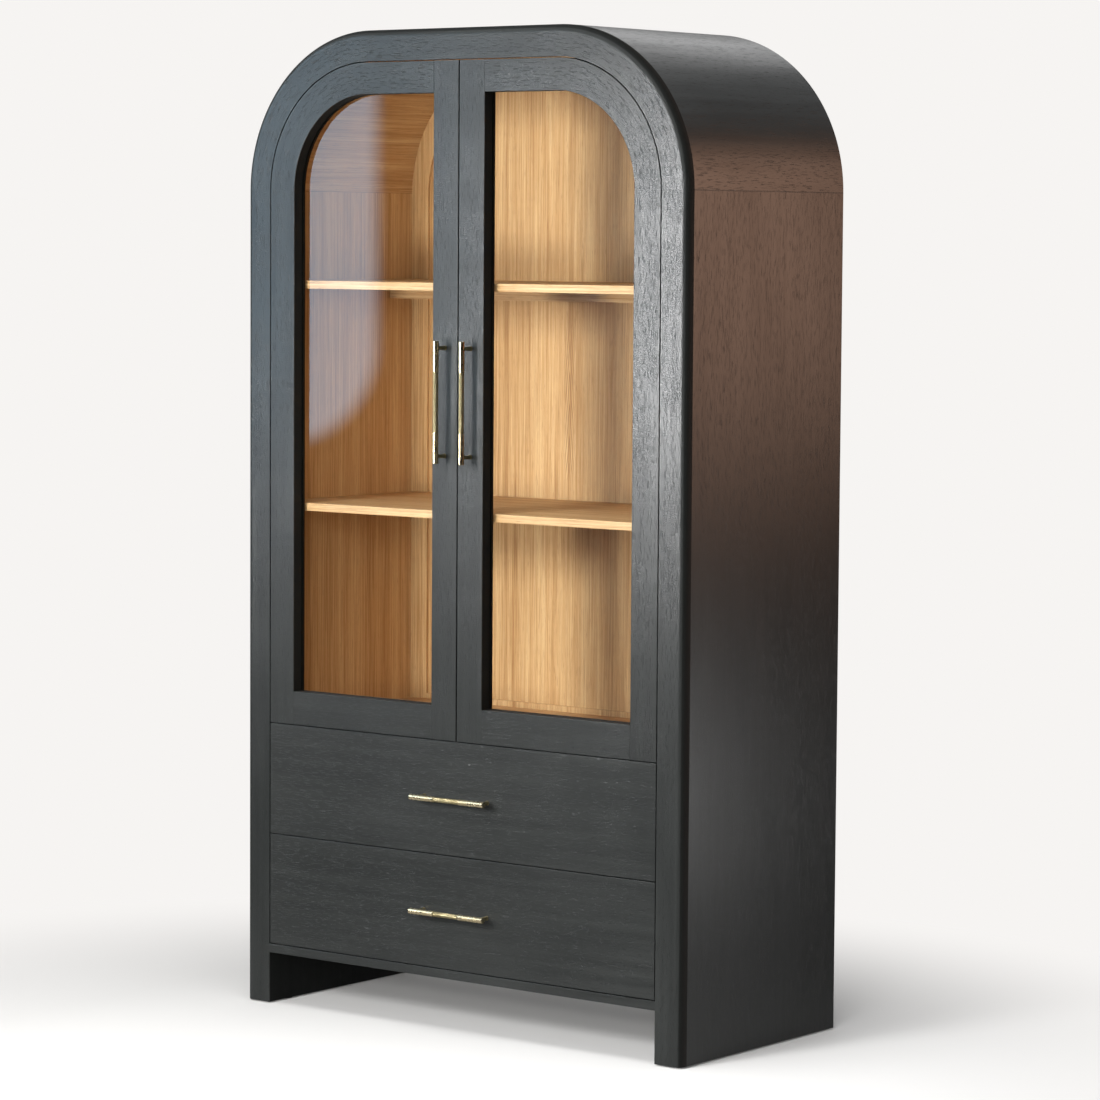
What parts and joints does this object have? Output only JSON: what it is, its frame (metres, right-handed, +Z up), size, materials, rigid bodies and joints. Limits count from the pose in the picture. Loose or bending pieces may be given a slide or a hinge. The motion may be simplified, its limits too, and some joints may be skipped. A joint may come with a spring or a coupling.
{
  "type": "curio cabinet",
  "caption": "Tall round-cornered black oak display cabinet with glazed doors, oak-lined shelves, drawers and brass bar pulls.",
  "frame": {"origin": "on the floor, under the middle of the overall box from the handles' front to the rear edge", "axes": "+Z up; the doors and drawers face -Y; +X to the right seen from the front"},
  "size_m": [1.107, 0.5524, 1.98],
  "materials": {
    "black_oak": "black stained open-grain oak veneer, satin lacquer",
    "natural_oak": "natural oak veneer, matt lacquer",
    "drawer_ply": "lacquered birch plywood",
    "clear_glass": "clear float glass, polished",
    "aged_brass": "brushed and knurled aged brass",
    "zinc_steel": "zinc-plated steel",
    "pin_steel": "nickel-plated steel",
    "glide_plastic": "moulded black nylon"
  },
  "bodies": {
    "carcass": {"left_side_panel": "black_oak", "right_side_panel": "black_oak", "left_corner_panel": "black_oak", "right_corner_panel": "black_oak", "top_panel": "black_oak", "left_front_stile": "black_oak", "right_front_stile": "black_oak", "left_front_arch": "black_oak", "right_front_arch": "black_oak", "top_front_rail": "black_oak", "left_side_lining": "natural_oak", "right_side_lining": "natural_oak", "left_corner_lining": "natural_oak", "right_corner_lining": "natural_oak", "top_lining": "natural_oak", "divider_panel": "natural_oak", "bottom_panel": "black_oak", "left_base_board": "black_oak", "right_base_board": "black_oak", "back_panel": "natural_oak", "back_border": "natural_oak", "upper_shelf": "natural_oak", "lower_shelf": "natural_oak", "shelf_rails": "natural_oak", "shelf_pins": "pin_steel", "levelling_feet": "glide_plastic", "wall_bracket": "zinc_steel", "hinge_blocks": "natural_oak", "hinge_arms": "zinc_steel", "runner_channels": "zinc_steel"},
    "left_door": {"left_door_hinge_stile": "black_oak", "left_door_meeting_stile": "black_oak", "left_door_bottom_rail": "black_oak", "left_door_arch_rail": "black_oak", "left_door_glass": "clear_glass", "left_door_beads": "black_oak", "left_hinge_cups": "zinc_steel", "left_door_handle": "aged_brass"},
    "left_hinge_links": {"left_hinge_links": "zinc_steel"},
    "right_door": {"right_door_hinge_stile": "black_oak", "right_door_meeting_stile": "black_oak", "right_door_bottom_rail": "black_oak", "right_door_arch_rail": "black_oak", "right_door_glass": "clear_glass", "right_door_beads": "black_oak", "right_hinge_cups": "zinc_steel", "right_door_handle": "aged_brass"},
    "right_hinge_links": {"right_hinge_links": "zinc_steel"},
    "upper_drawer": {"upper_drawer_front": "black_oak", "upper_drawer_box": "drawer_ply", "upper_drawer_bottom": "drawer_ply", "upper_drawer_rails": "zinc_steel", "upper_drawer_handle": "aged_brass"},
    "upper_runner_slides": {"upper_runner_slides": "zinc_steel"},
    "lower_drawer": {"lower_drawer_front": "black_oak", "lower_drawer_box": "drawer_ply", "lower_drawer_bottom": "drawer_ply", "lower_drawer_rails": "zinc_steel", "lower_drawer_handle": "aged_brass"},
    "lower_runner_slides": {"lower_runner_slides": "zinc_steel"}
  },
  "joints": [
    {"name": "left_door_hinge", "type": "hinge", "parent": "carcass", "child": "left_door", "pos_m": [-0.49, -0.2425, 1.2], "axis": [0, 0, 1], "range_deg": [-105, 0]},
    {"name": "left_hinge_fold", "type": "hinge", "parent": "carcass", "child": "left_hinge_links", "pos_m": [-0.49, -0.2425, 1.2], "axis": [0, 0, 1], "range_deg": [-52.5, 0]},
    {"name": "right_door_hinge", "type": "hinge", "parent": "carcass", "child": "right_door", "pos_m": [0.49, -0.2425, 1.2], "axis": [0, 0, 1], "range_deg": [0, 105]},
    {"name": "right_hinge_fold", "type": "hinge", "parent": "carcass", "child": "right_hinge_links", "pos_m": [0.49, -0.2425, 1.2], "axis": [0, 0, 1], "range_deg": [0, 52.5]},
    {"name": "upper_drawer_slide", "type": "slide", "parent": "carcass", "child": "upper_drawer", "axis": [0, -1, 0], "range_m": [0, 0.38]},
    {"name": "upper_runner_slide", "type": "slide", "parent": "carcass", "child": "upper_runner_slides", "axis": [0, -1, 0], "range_m": [0, 0.19]},
    {"name": "lower_drawer_slide", "type": "slide", "parent": "carcass", "child": "lower_drawer", "axis": [0, -1, 0], "range_m": [0, 0.38]},
    {"name": "lower_runner_slide", "type": "slide", "parent": "carcass", "child": "lower_runner_slides", "axis": [0, -1, 0], "range_m": [0, 0.19]}
  ],
  "couplings": [
    {"joint": "left_hinge_fold", "follows": "left_door_hinge", "ratio": 0.5},
    {"joint": "right_hinge_fold", "follows": "right_door_hinge", "ratio": 0.5},
    {"joint": "upper_runner_slide", "follows": "upper_drawer_slide", "ratio": 0.5},
    {"joint": "lower_runner_slide", "follows": "lower_drawer_slide", "ratio": 0.5}
  ]
}
